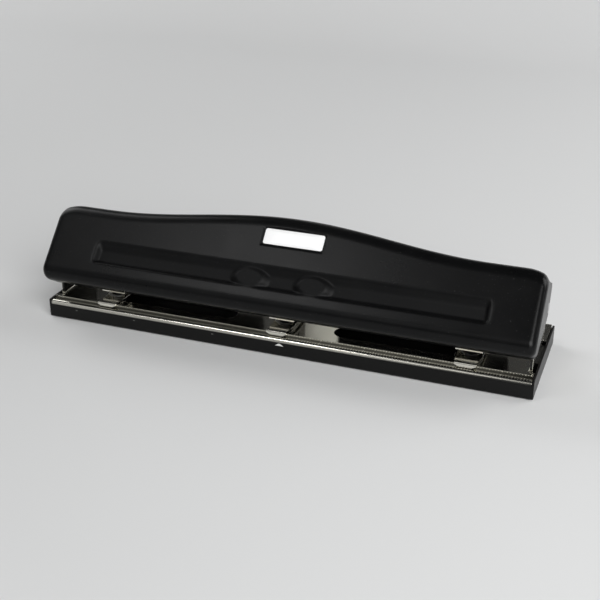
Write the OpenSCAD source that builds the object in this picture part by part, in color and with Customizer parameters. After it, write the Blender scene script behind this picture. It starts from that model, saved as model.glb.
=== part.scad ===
// Adjustable three-hole paper punch.
// X runs along the punch, the paper goes in from the front at -Y, and +Z is up.
// Depths are written from the front edge of the base plate, and placed() centres the punch.

/* [Base plate] */
// Length of the base plate
base_l = 288; // [282:1:296]
// Depth of the base plate, front flange to rear flange
base_d = 70; // [66:1:80]
// Height of the deck above the table
deck_z = 12.7; // [12:0.1:15]
// Thickness of the base sheet
plate_t = 1.5; // [1.2:0.1:1.8]
// How far the ruler strip lies below the deck
strip_drop = 1.6; // [1:0.1:2]
// Depth of the ruler strip, front edge to step
strip_d = 4.6; // [4:0.1:6]
// Outside radius of the front and rear bends
bend_r = 2; // [2:0.1:3]
// Height of the short flanges below the bends
flange_h = 0.4; // [0.4:0.1:1.5]
// Width of the long chip slots
slot_w = 12; // [11.6:0.1:14]
// Depth of each end ear along the deck
ear_d = 37.5; // [34:0.5:40]
// Distance from the front edge to the ears
ear_y = 8.5; // [8.5:0.5:12]
// How far the ears stand inside the ends of the plate
ear_in = 2; // [1.8:0.1:2.2]
// Radius of the ear round its pivot
ear_r = 8; // [6:0.5:9]

/* [Chip tray] */
// Thickness of the tray's end walls
tray_end_t = 1.2; // [1:0.1:2]
// Height of the end walls above the table
tray_end_h = 11.8; // [9:0.1:12]
// Thickness of the tray's floor and long walls
tray_t = 1.6; // [1.4:0.1:2]
// Radius of the end walls' corners
tray_corner_r = 1; // [1:0.1:3]
// Diameter of a rubber foot
foot_d = 14; // [10:0.5:18]
// How far the feet stand out below the tray
foot_proud = 0.5; // [0.4:0.1:0.7]
// How deep the feet sit in the tray
foot_sunk = 0.8; // [0.5:0.1:1]

/* [Handle] */
// Thickness of the handle's sheet
sheet_t = 1.2; // [0.8:0.1:1.6]
// Slope of the front face above the horizontal
face_a = 46; // [42:1:50]
// Distance from the front edge back to the lip's edge
lip_y = 3; // [2:0.1:4]
// Height of the lip's edge
lip_z = 22.5; // [22:0.1:25]
// Length of the straight part of the lip
lip_len = 9.3; // [7:0.1:11]
// Slope of the lip below the nose
lip_a = 32; // [26:1:38]
// Radius of the nose between face and lip
nose_r = 7; // [6:0.1:9]
// Height of the top edge near the ends
end_top_z = 64.3; // [64:0.1:67]
// Rise of the hump in the middle of the top edge
hump_rise = 7.1; // [4:0.1:8]
// Half the length of the hump
hump_half = 114; // [100:1:120]
// How far the top edge falls at the ends
end_drop = 2.5; // [0:0.1:4]
// Radius of the rolled top
top_r = 9.5; // [8:0.5:10]
// Distance from the front edge back to the skirt
back_y = 42; // [41.5:0.1:44]
// Height at which the back bends into the skirt
back_z = 46.3; // [46:0.1:48]
// Radius of that bend
back_r = 6; // [5:0.5:7]
// Height of the skirt's lower edge
skirt_z = 24; // [23.5:0.5:30]
// Where each half of the skirt starts from the middle
skirt_in = 22; // [15:1:30]
// Where each half of the skirt ends
skirt_out = 126; // [115:1:128]
// Height of the end walls' rear corner
wall_z = 32; // [28:0.5:32]
// How far that corner lies in front of the back flange
wall_lean = 2; // [1:0.5:4]
// How far the handle's ends stand out beyond the base plate
handle_over = 0.6; // [0.5:0.1:0.8]
// How far the handle and its ears sit to the right of the middle
handle_off = 0.8; // [0:0.1:0.8]
// Radius of the rounded ends
end_r = 4.2; // [4:0.1:5]
// Offset of the channel and its domes from the middle
press_x = 2.7; // [0:0.1:4]
// Half the length of the pressed channel
channel_half = 116; // [100:1:120]
// Depth of the pressed channel
channel_q = 3; // [1:0.1:4]
// Start of the channel up the face
channel_s = 4.8; // [4:0.1:6]
// Width of the channel across the face
channel_w = 15; // [14:0.1:18]
// Distance of each dome from the middle of the channel
dome_x = 18.5; // [14:0.5:22]
// Half length of a dome
dome_rx = 12.5; // [8:0.5:13]
// Half height of a dome across the face
dome_rs = 7.5; // [5:0.1:8]
// Width of the label plate
label_w = 35; // [25:1:40]
// Height of the label plate
label_h = 9.3; // [6:0.1:10.5]
// Offset of the label plate from the middle
label_x = 4; // [0:0.1:6]
// Thickness of the label plate
label_t = 0.35; // [0.2:0.05:0.6]

/* [Pivot and pressure bar] */
// Distance from the front edge to the handle's pivot
pivot_y = 36; // [34:0.5:37]
// Height of the handle's pivot
pivot_z = 38; // [37:0.1:39]
// Diameter of the pivot pins
pivot_d = 6; // [4:0.1:7]
// Diameter of the pivot pins' heads
pivot_head_d = 10; // [8:0.1:12]
// Diameter of the pressure bar
bar_d = 8; // [6:0.1:8.5]

/* [Punch heads] */
// Distance between neighbouring holes in the paper
hole_pitch = 107.95; // [100:0.05:112]
// Distance from the base's front edge to the hole centres
hole_y = 17.5; // [16:0.1:19]
// Distance from the hole centres to the paper's edge
margin = 12.7; // [12:0.1:14]
// Diameter of the punched hole
pin_d = 7.14; // [6:0.02:7.3]
// How far the pins go down
pin_travel = 4.4; // [4:0.1:4.6]
// Paper gap between die jaw and guide jaw
throat = 2.65; // [2:0.05:3]
// Height of the space between the two guide jaws
guide_gap = 13.4; // [12:0.1:14]
// Thickness of the head's sheet
head_t = 1.5; // [1.2:0.1:1.8]
// Width of a head
head_w = 15; // [15:0.5:24]
// Width of the tongue at its front end
tongue_w = 12; // [10:0.5:14]
// Outside diameter of the die ring
die_d = 11; // [10:0.1:11.2]
// How far the die ring hangs below the die jaw
die_drop = 2.2; // [1.8:0.1:3]
// How far the heads slide inwards
slide_in = 66; // [50:1:68]
// How far the heads slide outwards
slide_out = 2; // [1:1:16]
// Diameter of the lock screws
screw_d = 4; // [3:0.1:5]
// Diameter of the lock screws' knurled heads
knob_d = 12; // [9:0.5:14]
// Height of the knurled heads
knob_h = 6; // [4:0.5:8]
// Width of the square clamp nuts
nut_w = 10; // [8:0.5:12]
// Thickness of the clamp nuts
nut_t = 3; // [2:0.1:3.2]

/* [Return springs] */
// Diameter of the spring wire
wire_d = 0.9; // [0.7:0.05:1]
// Number of curls in a spring
curls = 5; // [4:1:6]

/* [Fits] */
// Radial clearance of pins that turn or slide in a bore
run_c = 0.05; // [0.03:0.01:0.09]
// Clearance of pieces that slide on each other
slide_c = 0.15; // [0.1:0.05:0.2]
// Clearance of pieces that are put together loosely
loose_c = 0.3; // [0.2:0.05:0.4]
// Gap between the handle's end walls and the ears
side_c = 0.3; // [0.3:0.05:0.6]

/* [Hidden] */
$fn = 64;
HEADS = ["left", "centre", "right"];

// Deck levels
deck_under = deck_z - plate_t;
strip_z = deck_z - strip_drop;
front_end = strip_z - bend_r;
rear_end = deck_z - bend_r;
base_x = base_l / 2;
ear_x = base_x - ear_in;

// Head levels, from the deck upwards
jaw_z = deck_z + slide_c;
jaw_top = jaw_z + head_t;
guide_z = jaw_top + throat;
guide_top = guide_z + head_t;
cap_z = guide_top + guide_gap;
cap_top = cap_z + head_t;
stop_y = hole_y + margin;
spine_y = stop_y + head_t;
jaw_wall = 2.1;
jaw_y = hole_y - pin_d / 2 - jaw_wall;
foot_len = 20;
screw_y = spine_y + foot_len * 0.64;
foot_w = head_w - 1;
tongue_y = strip_d - 0.2;
tongue_root_w = tongue_w + 3;
lip_tip = 2.8;
cheek_y = hole_y + 3;

// Punch pin and the clip that carries its spring
pin_r = pin_d / 2;
pin_tip = guide_z + 0.3;
clip_t = 0.8;
clip_top = cap_z - 0.1;
clip_z = clip_top - clip_t;
clip_r = 5.6;
groove_r = pin_r - 0.65;
pin_head_r = pin_r + 1.5;
pin_head_h = 1.6;
pin_head_z = cap_top + pin_travel + loose_c;
pin_top = pin_head_z + pin_head_h;
press_gap = 0.1;

// Pressure bar stands over the pins
bar_r = bar_d / 2;
bar_z = pin_top + press_gap + bar_r;

// Slots in the deck, from the travel of the heads
slot_near = hole_pitch - slide_in - die_d / 2 - 6.5;
slot_far = hole_pitch + slide_out + slot_w / 2 + loose_c;
screw_slot_w = screw_d + 2 * loose_c;
screw_near = hole_pitch - slide_in - screw_slot_w / 2;
screw_far = hole_pitch + slide_out + screw_slot_w / 2;
rivet_x = 3.6;
rivet_r = 1.6;

// Handle outline across the punch, as depth and height
function unit(a) = [cos(a), sin(a)];
end_round = min(end_r, nose_r - 0.5);
handle_x = base_x + handle_over;
lip_p = [lip_y, lip_z];
nose_c = lip_p + lip_len * unit(180 - lip_a) + nose_r * unit(90 - lip_a);
face_p = nose_c + nose_r * unit(90 + face_a);
face_u = unit(face_a);
face_in = unit(face_a - 90);
nose_front = nose_c[0] - nose_r;
top_tangent = top_r * tan(face_a / 2);
drop_x = handle_x - end_round - 8;
function hump(x) = abs(x) < hump_half ? hump_rise * (1 + cos(180 * x / hump_half)) / 2 : 0;
function top_z(x) = end_top_z + hump(x) - end_drop * pow(max(0, abs(x) - drop_x) / (handle_x - drop_x), 2);
function corner_y(z) = face_p[0] + (z - face_p[1]) / tan(face_a);
y_mid = (base_d + nose_front) / 2;

// Channel across the face: a steep lower wall, a floor and a long upper slope
channel_top = channel_s + channel_w;
channel_low_w = 3;
channel_floor_w = 5.5;
channel_end_w = 3.5;
dome_s = channel_s + channel_w * 0.4;
dome_side = 0.45;
function smooth(t) = t <= 0 ? 0 : t >= 1 ? 1 : t * t * (3 - 2 * t);
function across(s) = smooth((s - channel_s) / channel_low_w)
    * smooth((channel_top - s) / (channel_w - channel_low_w - channel_floor_w));
function along(x) = smooth((channel_half - abs(x - press_x)) / channel_end_w);
function dome(x, s) = let (r = norm([(abs(x - press_x) - dome_x) / dome_rx, (s - dome_s) / dome_rs]))
    smooth((1 - r) / dome_side);
function pressed(x, s) = channel_q * across(s) * along(x) * (1 - dome(x, s));

// Skirt at the back in two halves, with a short edge left between and beyond them
skirt_ramp = 2;
short_edge = 0.8;
function part(t) = min(1, max(0, t));
function skirt(x) = part((abs(x) - skirt_in) / skirt_ramp) * part((skirt_out - abs(x)) / skirt_ramp);
function low_z(x) = back_z - short_edge - (back_z - short_edge - skirt_z) * skirt(x);

// Stations along the handle, as a place and an angle round the rounded end
function sorted(v) = len(v) < 2 ? v : let (m = v[floor(len(v) / 2)])
    concat(sorted([for (x = v) if (x < m) x]), [m], sorted([for (x = v) if (x > m) x]));
end_steps = [18, 36, 54, 72, 90];
dome_steps = [-1, -0.85, -0.7, -0.55, 0, 0.55, 0.7, 0.85, 1];
hump_steps = 7;
dome_out = dome_x + dome_rx;
channel_in = channel_half - channel_end_w;
flat_x = handle_x - end_round;
pressed_places = concat(
    [0],
    [for (k = dome_steps) dome_x + dome_rx * k],
    [for (k = [1:hump_steps]) dome_out + (channel_in - dome_out) * k / hump_steps],
    [channel_half - channel_end_w / 2, channel_half]);
skirt_places = [drop_x, (drop_x + flat_x) / 2, flat_x, skirt_in, skirt_in + skirt_ramp, skirt_out - skirt_ramp, skirt_out];
flat_places = sorted([for (side = [-1, 1])
    for (x = concat([for (p = pressed_places) press_x + side * p], [for (p = skirt_places) side * p])) x]);
stations = concat(
    [for (k = [len(end_steps) - 1:-1:0]) [-flat_x, -end_steps[k]]],
    [for (x = flat_places) [x, 0]],
    [for (a = end_steps) [flat_x, a]]);
nose_steps = 6;
roll_steps = 7;
bend_steps = 3;
face_steps = concat(
    [for (k = [0:3]) channel_s + channel_low_w * k / 3],
    [for (k = [1:2]) channel_s + channel_low_w + channel_floor_w * k / 2],
    [for (k = [1:4]) channel_top - (channel_w - channel_low_w - channel_floor_w) * (1 - k / 4)]);

// One line across the handle, inset by d from the outside and by e more at the rounded ends
function section(x, d, e) =
    let (
        i = d + e,
        zt = top_z(x),
        roll_c = [corner_y(zt) + top_tangent, zt - top_r],
        bend_c = [back_y - back_r, back_z],
        run = bend_c - roll_c,
        slope = atan2(run[1], run[0]) + acos((top_r - i - back_r + d) / norm(run)),
        p0 = face_p + i * face_in)
    concat(
        [lip_p + i * unit(90 - lip_a)],
        [for (k = [0:nose_steps])
            nose_c + (nose_r - i) * unit(270 - lip_a - (180 - lip_a - face_a) * k / nose_steps)],
        [for (s = face_steps) p0 + s * face_u + pressed(x, s) * face_in],
        [for (k = [0:roll_steps])
            roll_c + (top_r - i) * unit(90 + face_a + (slope - 90 - face_a) * k / roll_steps)],
        [for (k = [0:bend_steps]) bend_c + (back_r - d) * unit(slope * (1 - k / bend_steps))],
        [[back_y - d, low_z(x)]]);
section_n = 1 + nose_steps + 1 + len(face_steps) + roll_steps + 1 + bend_steps + 1 + 1;

// End walls lean inwards behind the face, so that their rear corner just clears the ear
rear_corner = [back_y - wall_lean, wall_z];
function behind(p) = (p - face_p) * face_in;
lean = (handle_x - sheet_t - ear_x - side_c) / (behind(rear_corner) - end_round);
function wall_x(p) = handle_x - lean * (behind(p) - end_round);

// Skin of the handle at depth d in the sheet, as one row of points a station
function skin(d) = [for (st = stations)
    let (r = end_round - d, x = st[0] + r * sin(st[1]), e = r * (1 - cos(st[1])))
    for (p = section(x, d, e)) [x - lean * sin(st[1]) * max(0, behind(p) - d - e), p[0], p[1]]];
function wall_corner(d) = [for (side = [-1, 1]) [side * (wall_x(rear_corner) - d), rear_corner[0], rear_corner[1]]];

// Faces of a grid of points, turned over for the inside
function grid_faces(rows, cols, start, flip) = [for (i = [0:rows - 2]) for (j = [0:cols - 2])
    let (a = start + i * cols + j, b = a + cols)
    for (f = flip ? [[a, a + 1, b], [b, a + 1, b + 1]] : [[a, b, a + 1], [b, b + 1, a + 1]]) f];

// Return springs
spring_z0 = guide_top;
spring_z1 = clip_z;
spring_r = pin_r + wire_d / 2 + 0.5;
wire_sides = 6;
curl_rings = 8;
spring_rings = curls * curl_rings;
function coil_point(k) =
    let (a = 360 * k / curl_rings, run = spring_z1 - spring_z0 - 2 * wire_d)
    [spring_r * cos(a), spring_r * sin(a), spring_z0 + wire_d + run * k / spring_rings];
spring_path = concat(
    [[spring_r, 0, spring_z0]],
    [for (k = [0:spring_rings]) coil_point(k)],
    [[spring_r, 0, spring_z1]]);
spring_n = len(spring_path);
spring_gap = min([for (i = [0:spring_n - 1]) for (j = [i + curl_rings - 2:1:spring_n - 1])
    norm(spring_path[i] - spring_path[j]) - wire_d]);
echo(least_spring_gap = spring_gap);

module placed() {
    translate([0, -y_mid, 0]) children();
}

// A shape drawn as depth and height, drawn out along the punch and centred
module along_x(length) {
    rotate([90, 0, 90]) linear_extrude(height = length, center = true) children();
}

// Rectangle between two corners
module block2(a, b) {
    translate(a) square(b - a);
}

// Quarter of a bent sheet round centre c, towards the signs in side
module bend2(c, r, t, side) {
    translate(c) intersection() {
        difference() {
            circle(r = r);
            circle(r = r - t);
        }
        translate([side[0] < 0 ? -r : 0, side[1] < 0 ? -r : 0]) square(r);
    }
}

// Slot with round ends through the deck
module deck_slot(x0, x1, y, w) {
    cut = 3 * plate_t;
    translate([0, y, deck_under - plate_t]) {
        translate([x0 + w / 2, -w / 2, 0]) cube([x1 - x0 - w, w, cut]);
        for (x = [x0 + w / 2, x1 - w / 2]) translate([x, 0, 0]) cylinder(d = w, h = cut);
    }
}

module base_section() {
    block2([0, front_end - flange_h], [plate_t, front_end]);
    bend2([bend_r, front_end], bend_r, plate_t, [-1, 1]);
    block2([bend_r, strip_z - plate_t], [strip_d + plate_t, strip_z]);
    block2([strip_d, strip_z - plate_t], [strip_d + plate_t, deck_z]);
    block2([strip_d, deck_under], [base_d - bend_r, deck_z]);
    bend2([base_d - bend_r, rear_end], bend_r, plate_t, [1, 1]);
    block2([base_d - plate_t, rear_end - flange_h], [base_d, rear_end]);
}

// Upright ear drawn as depth and height
module ear_shape() {
    shoulder_z = deck_z + 8;
    polygon([
        [ear_y, deck_z + ear_bend],
        [ear_y, shoulder_z],
        [pivot_y - ear_r * cos(40), pivot_z + ear_r * sin(40)],
        [pivot_y + ear_r, pivot_z],
        [ear_y + ear_d, deck_z + ear_bend]
    ]);
    translate([pivot_y, pivot_z]) circle(r = ear_r);
}
ear_bend = 0.8;

module ear() {
    r = ear_bend + plate_t;
    translate([ear_x - plate_t / 2, 0, 0]) along_x(plate_t) ear_shape();
    translate([0, ear_y + ear_d, 0]) rotate([90, 0, 0]) linear_extrude(height = ear_d) {
        bend2([ear_x - r, deck_z + ear_bend], r, plate_t, [1, -1]);
        block2([ear_x - r - plate_t, deck_under], [ear_x - r, deck_z]);
    }
}

module base_plate() {
    relief = 0.8;
    r = ear_bend + plate_t;
    color("silver") placed() difference() {
        union() {
            difference() {
                along_x(base_l) base_section();
                for (side = [-1, 1]) translate([handle_off + side * base_x, ear_y + ear_d / 2, deck_z])
                    cube([2 * (r + ear_in), ear_d + 2 * relief, 4 * plate_t], center = true);
            }
            translate([handle_off, 0, 0]) for (side = [0, 1]) mirror([side, 0, 0]) ear();
        }
        for (side = [0, 1]) mirror([side, 0, 0]) {
            deck_slot(slot_near, slot_far, hole_y, slot_w);
            deck_slot(screw_near, screw_far, screw_y, screw_slot_w);
            translate([rivet_x, screw_y, deck_under - plate_t]) cylinder(r = rivet_r, h = 3 * plate_t);
        }
        translate([0, hole_y, deck_under - plate_t]) cylinder(d = slot_w, h = 3 * plate_t);
        for (side = [-1, 1]) translate([handle_off + side * (ear_x - plate_t / 2), pivot_y, pivot_z])
            rotate([0, 90, 0]) cylinder(d = pivot_d, h = 3 * plate_t, center = true);
    }
}

// Tray
tray_x = base_x + loose_c + tray_end_t;
tray_floor_top = foot_proud + tray_t;
tray_front_top = front_end - flange_h - slide_c;
tray_rear_top = rear_end - flange_h - slide_c;
tray_post_w = 4;
tray_post_y = [22, 44];

// Rectangle with round corners
module round2(a, b, r) {
    block2(a + [r, 0], b - [r, 0]);
    block2(a + [0, r], b - [0, r]);
    for (x = [a[0] + r, b[0] - r]) for (y = [a[1] + r, b[1] - r]) translate([x, y]) circle(r = r);
}

module foot_places() {
    inset = 22;
    for (x = [-1, 1]) for (y = [inset * 0.8, base_d - inset * 0.8])
        translate([x * (base_x - inset), y, 0]) children();
}

module tray_section() {
    intersection() {
        round2([0, foot_proud], [base_d, deck_z], tray_corner_r);
        union() {
            block2([0, foot_proud], [base_d, tray_floor_top]);
            block2([0, foot_proud], [tray_t, tray_front_top]);
            block2([base_d - tray_t, foot_proud], [base_d, tray_rear_top]);
        }
    }
}

module chip_tray() {
    color("#202022") placed() difference() {
        union() {
            along_x(2 * tray_x) tray_section();
            for (side = [-1, 1]) {
                translate([side * (tray_x - tray_end_t / 2), 0, 0]) along_x(tray_end_t)
                    round2([0, foot_proud], [base_d, tray_end_h], tray_corner_r);
                translate([side * (base_x - tray_post_w / 2), 0, 0]) along_x(tray_post_w + 2 * loose_c)
                    block2([tray_post_y[0], foot_proud], [tray_post_y[1], deck_under - slide_c]);
            }
        }
        foot_places() cylinder(d = foot_d + 2 * loose_c, h = foot_proud + foot_sunk);
    }
}

module rubber_feet() {
    edge = 0.3;
    h = foot_proud + foot_sunk;
    color("#161616") placed() foot_places() rotate_extrude()
        polygon([[0, 0], [foot_d / 2 - edge, 0], [foot_d / 2, edge], [foot_d / 2, h], [0, h]]);
}

// Handle: a pressed sheet with an outer and an inner skin, joined along its open edge
module handle_sheet() {
    rows = len(stations);
    cols = section_n;
    half = rows * cols;
    points = concat(skin(0), skin(sheet_t), wall_corner(0), wall_corner(sheet_t));
    corner = 2 * half;
    first = [for (j = [0:cols - 1]) j];
    last = [for (j = [0:cols - 1]) half - cols + j];
    // The open edge runs along the lip, over one end wall, back along the top and over the other
    edge_out = concat(
        [for (i = [0:rows - 1]) i * cols], [corner + 1],
        [for (i = [rows - 1:-1:0]) i * cols + cols - 1], [corner]);
    edge_in = [for (v = edge_out) v >= corner ? v + 2 : v + half];
    edge_n = len(edge_out);
    // An end wall is a fan of triangles round its rear corner
    fan_out = concat(
        [for (j = [0:cols - 2]) [corner, first[j], first[j + 1]]],
        [for (j = [0:cols - 2]) [corner + 1, last[j + 1], last[j]]]);
    fan_in = [for (f = fan_out) [f[0] + 2, f[2] + half, f[1] + half]];
    rim = [for (k = [0:edge_n - 1])
        let (n = (k + 1) % edge_n)
        for (f = [[edge_out[k], edge_in[k], edge_out[n]], [edge_out[n], edge_in[k], edge_in[n]]]) f];
    polyhedron(points, concat(
        grid_faces(rows, cols, 0, false), grid_faces(rows, cols, half, true), fan_out, fan_in, rim));
}

pivot_x = wall_x([pivot_y, pivot_z]);
bar_x = wall_x([hole_y, bar_z]) - sheet_t - lean * bar_r;

module handle() {
    bore = pivot_d / 2 + run_c;
    color("#1b1b1d") placed() translate([handle_off, 0, 0]) difference() {
        handle_sheet();
        for (side = [-1, 1]) translate([side * (pivot_x - sheet_t / 2), pivot_y, pivot_z])
            rotate([0, 90, 0]) cylinder(r = bore, h = 3 * sheet_t, center = true);
    }
}

module pressure_bar() {
    color("gray") placed() translate([handle_off, hole_y, bar_z]) rotate([0, 90, 0])
        cylinder(r = bar_r, h = 2 * bar_x, center = true);
}

module label_plate() {
    label_s = face_len(label_x) - label_edge - label_h;
    place = face_p + label_s * face_u;
    color("white") placed() translate([handle_off + label_x - label_w / 2, place[0], place[1]])
        rotate([face_a, 0, 0]) cube([label_w, label_h, label_t]);
}
label_edge = 1;
function face_len(x) = (top_z(x) - face_p[1]) / sin(face_a) - top_tangent;

// Headed pin that is pressed into the ear and carries the end wall
module pivot_pin(side) {
    head_t = 1.4;
    proud = 0.2;
    inner = ear_x - plate_t;
    shank = pivot_x + proud - inner;
    color("silver") placed() translate([handle_off, 0, 0]) mirror([side < 0 ? 1 : 0, 0, 0])
        translate([inner, pivot_y, pivot_z]) rotate([0, 90, 0]) {
            cylinder(d = pivot_d, h = shank);
            translate([0, 0, -head_t]) cylinder(d = pivot_head_d, h = head_t);
        }
}

// Die jaw with its tapered tongue, seen from above
module jaw_plan(foot) {
    block2([-head_w / 2, jaw_y], [head_w / 2, spine_y]);
    polygon([
        [-tongue_w / 2, tongue_y], [tongue_w / 2, tongue_y],
        [tongue_root_w / 2, jaw_y], [-tongue_root_w / 2, jaw_y]
    ]);
    block2([-foot / 2, stop_y], [foot / 2, spine_y + foot_len]);
}

// Front end of the tongue, bent down over the step of the deck
module tongue_lip() {
    end_z = strip_z + loose_c;
    bend_c = jaw_top - head_t;
    translate([0, tongue_y, 0]) {
        along_x(tongue_w) bend2([0, bend_c], head_t, head_t, [-1, 1]);
        rotate([90, 0, 0]) linear_extrude(height = head_t) polygon([
            [-tongue_w / 2, bend_c], [tongue_w / 2, bend_c],
            [tongue_w / 2 - lip_tip, end_z], [-tongue_w / 2 + lip_tip, end_z]
        ]);
    }
}

// Folded frame of one head: die jaw, two guide jaws, paper stop and side cheeks
module head_frame(x, foot) {
    bore = pin_r + run_c;
    color("silver") placed() translate([x, 0, 0]) difference() {
        union() {
            translate([0, 0, jaw_z]) linear_extrude(height = head_t) jaw_plan(foot);
            tongue_lip();
            along_x(head_w) {
                block2([jaw_y, guide_z], [spine_y, guide_top]);
                block2([jaw_y, cap_z], [spine_y, cap_top]);
                block2([stop_y, jaw_z], [spine_y, cap_top]);
            }
            for (side = [-1, 1]) translate([side * (head_w - head_t) / 2, 0, 0]) along_x(head_t)
                block2([cheek_y, guide_z], [spine_y, cap_top]);
        }
        translate([0, hole_y, guide_z - throat / 2]) cylinder(r = bore, h = cap_top - guide_z + throat);
        translate([0, hole_y, jaw_z - head_t]) cylinder(d = die_d, h = 2 * head_t + throat / 2);
        if (x == 0)
            for (side = [-1, 1]) translate([side * rivet_x, screw_y, jaw_z - head_t])
                cylinder(r = rivet_r, h = 3 * head_t);
        else
            translate([0, screw_y, jaw_z - head_t]) cylinder(r = screw_d / 2 + run_c, h = 3 * head_t);
    }
}

module punch_die(x) {
    color("dimgray") placed() translate([x, hole_y, jaw_z - die_drop]) difference() {
        cylinder(d = die_d, h = die_drop + head_t);
        translate([0, 0, -1]) cylinder(r = pin_r + run_c, h = die_drop + head_t + 2);
    }
}

// Turned pin with a clip groove and a crowned head
module punch_pin(x) {
    crown = 0.6;
    groove_c = 0.05;
    color("lightgray") placed() translate([x, hole_y, 0]) rotate_extrude() polygon([
        [0, pin_tip], [pin_r, pin_tip],
        [pin_r, clip_z - groove_c], [groove_r, clip_z - groove_c],
        [groove_r, clip_top + groove_c], [pin_r, clip_top + groove_c],
        [pin_r, pin_head_z], [pin_head_r, pin_head_z],
        [pin_head_r, pin_top - crown], [pin_head_r - 2 * crown, pin_top], [0, pin_top]
    ]);
}

// Open clip in the pin's groove
module retaining_clip(x) {
    mouth = 1.7 * groove_r;
    color("gray") placed() translate([x, hole_y, clip_z]) linear_extrude(height = clip_t) difference() {
        circle(r = clip_r);
        circle(r = groove_r + run_c);
        translate([0, clip_r / 2]) square([mouth, clip_r], center = true);
    }
}

// Wire of the spring: rings of points round the path, square to it
module return_spring(x) {
    path = spring_path;
    n = spring_n;
    r = wire_d / 2;
    points = [for (k = [0:n - 1])
        let (
            p = path[k],
            t = path[min(k + 1, n - 1)] - path[max(k - 1, 0)],
            out = [p[0], p[1], 0] / norm([p[0], p[1], 0]),
            side = cross(t, out) / norm(cross(t, out)),
            up = cross(side, t) / norm(cross(side, t)))
        for (s = [0:wire_sides - 1])
            p + r * (cos(360 * s / wire_sides) * up + sin(360 * s / wire_sides) * side)];
    walls = [for (k = [0:n - 2]) for (s = [0:wire_sides - 1])
        let (a = k * wire_sides + s, b = k * wire_sides + (s + 1) % wire_sides)
        for (f = [[a, b, a + wire_sides], [b, b + wire_sides, a + wire_sides]]) f];
    last = (n - 1) * wire_sides;
    caps = [for (s = [1:wire_sides - 2])
        for (f = [[0, s + 1, s], [last, last + s, last + s + 1]]) f];
    color("gainsboro") placed() translate([x, hole_y, 0]) polyhedron(points, concat(walls, caps));
}

// Knurled screw through the head's foot, the deck and the clamp nut
module lock_screw(x) {
    grooves = 18;
    tip_z = deck_under - slide_c - nut_t;
    color("silver") placed() translate([x, screw_y, 0]) {
        translate([0, 0, tip_z]) cylinder(d = screw_d, h = jaw_top - tip_z + loose_c);
        translate([0, 0, jaw_top + slide_c]) difference() {
            cylinder(d = knob_d, h = knob_h);
            for (k = [0:grooves - 1]) rotate(360 * k / grooves) translate([knob_d / 2, 0, -1])
                cylinder(r = 0.6, h = knob_h + 2);
        }
    }
}

module clamp_nut(x) {
    color("gray") placed() translate([x, screw_y, deck_under - slide_c - nut_t]) difference() {
        translate([-nut_w / 2, -nut_w / 2, 0]) cube([nut_w, nut_w, nut_t]);
        translate([0, 0, -1]) cylinder(r = screw_d / 2 + run_c, h = nut_t + 2);
    }
}

// Two rivets that hold the middle head on the deck
module centre_head_rivets() {
    head_h = 1.6;
    head_r = rivet_r * 1.8;
    foot_h = 1;
    color("silver") placed() for (side = [-1, 1]) translate([side * rivet_x, screw_y, 0]) {
        translate([0, 0, deck_under]) cylinder(r = rivet_r, h = jaw_top - deck_under);
        translate([0, 0, jaw_top]) cylinder(r1 = head_r, r2 = rivet_r, h = head_h);
        translate([0, 0, deck_under - foot_h]) cylinder(r = head_r, h = foot_h);
    }
}

base_plate();
chip_tray();
rubber_feet();
handle();
pressure_bar();
label_plate();
pivot_pin(-1);  // pivot_pin_left
pivot_pin(1);  // pivot_pin_right
head_frame(-hole_pitch, foot_w);  // head_frame_left
head_frame(0, foot_w);  // head_frame_centre
head_frame(hole_pitch, foot_w);  // head_frame_right
punch_die(-hole_pitch);  // punch_die_left
punch_die(0);  // punch_die_centre
punch_die(hole_pitch);  // punch_die_right
punch_pin(-hole_pitch);  // punch_pin_left
punch_pin(0);  // punch_pin_centre
punch_pin(hole_pitch);  // punch_pin_right
return_spring(-hole_pitch);  // return_spring_left
return_spring(0);  // return_spring_centre
return_spring(hole_pitch);  // return_spring_right
retaining_clip(-hole_pitch);  // retaining_clip_left
retaining_clip(0);  // retaining_clip_centre
retaining_clip(hole_pitch);  // retaining_clip_right
lock_screw(-hole_pitch);  // lock_screw_left
lock_screw(hole_pitch);  // lock_screw_right
clamp_nut(-hole_pitch);  // clamp_nut_left
clamp_nut(hole_pitch);  // clamp_nut_right
centre_head_rivets();
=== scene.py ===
# %% [markdown]
# # An adjustable hole punch
# This lesson dresses a finished CAD model of a desk paper punch. The model comes in as a fixed
# frame of rigid bodies, and every piece made here rides on one of them, so the handle can still be
# pressed and the heads can still slide. Sizes of pieces are written in millimetres, and become
# metres where a mesh is made. Materials and lamps are written in metres, as Blender reads them.

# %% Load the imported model
import math

import bmesh
import bpy
import numpy as np
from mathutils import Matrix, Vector


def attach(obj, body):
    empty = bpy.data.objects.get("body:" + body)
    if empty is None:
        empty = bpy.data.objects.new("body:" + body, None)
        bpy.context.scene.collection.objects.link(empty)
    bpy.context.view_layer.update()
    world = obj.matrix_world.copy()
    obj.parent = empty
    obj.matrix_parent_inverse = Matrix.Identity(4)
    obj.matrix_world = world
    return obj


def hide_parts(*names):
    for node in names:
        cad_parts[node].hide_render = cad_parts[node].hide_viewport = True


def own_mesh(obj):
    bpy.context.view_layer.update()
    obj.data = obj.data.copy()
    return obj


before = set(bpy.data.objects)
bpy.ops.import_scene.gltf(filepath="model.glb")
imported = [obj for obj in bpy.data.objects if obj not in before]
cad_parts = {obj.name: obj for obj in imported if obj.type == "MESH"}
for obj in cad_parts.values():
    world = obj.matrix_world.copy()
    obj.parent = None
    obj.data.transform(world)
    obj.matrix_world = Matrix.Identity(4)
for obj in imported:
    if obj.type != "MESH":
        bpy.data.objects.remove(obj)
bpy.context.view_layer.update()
MM = 0.001

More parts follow.
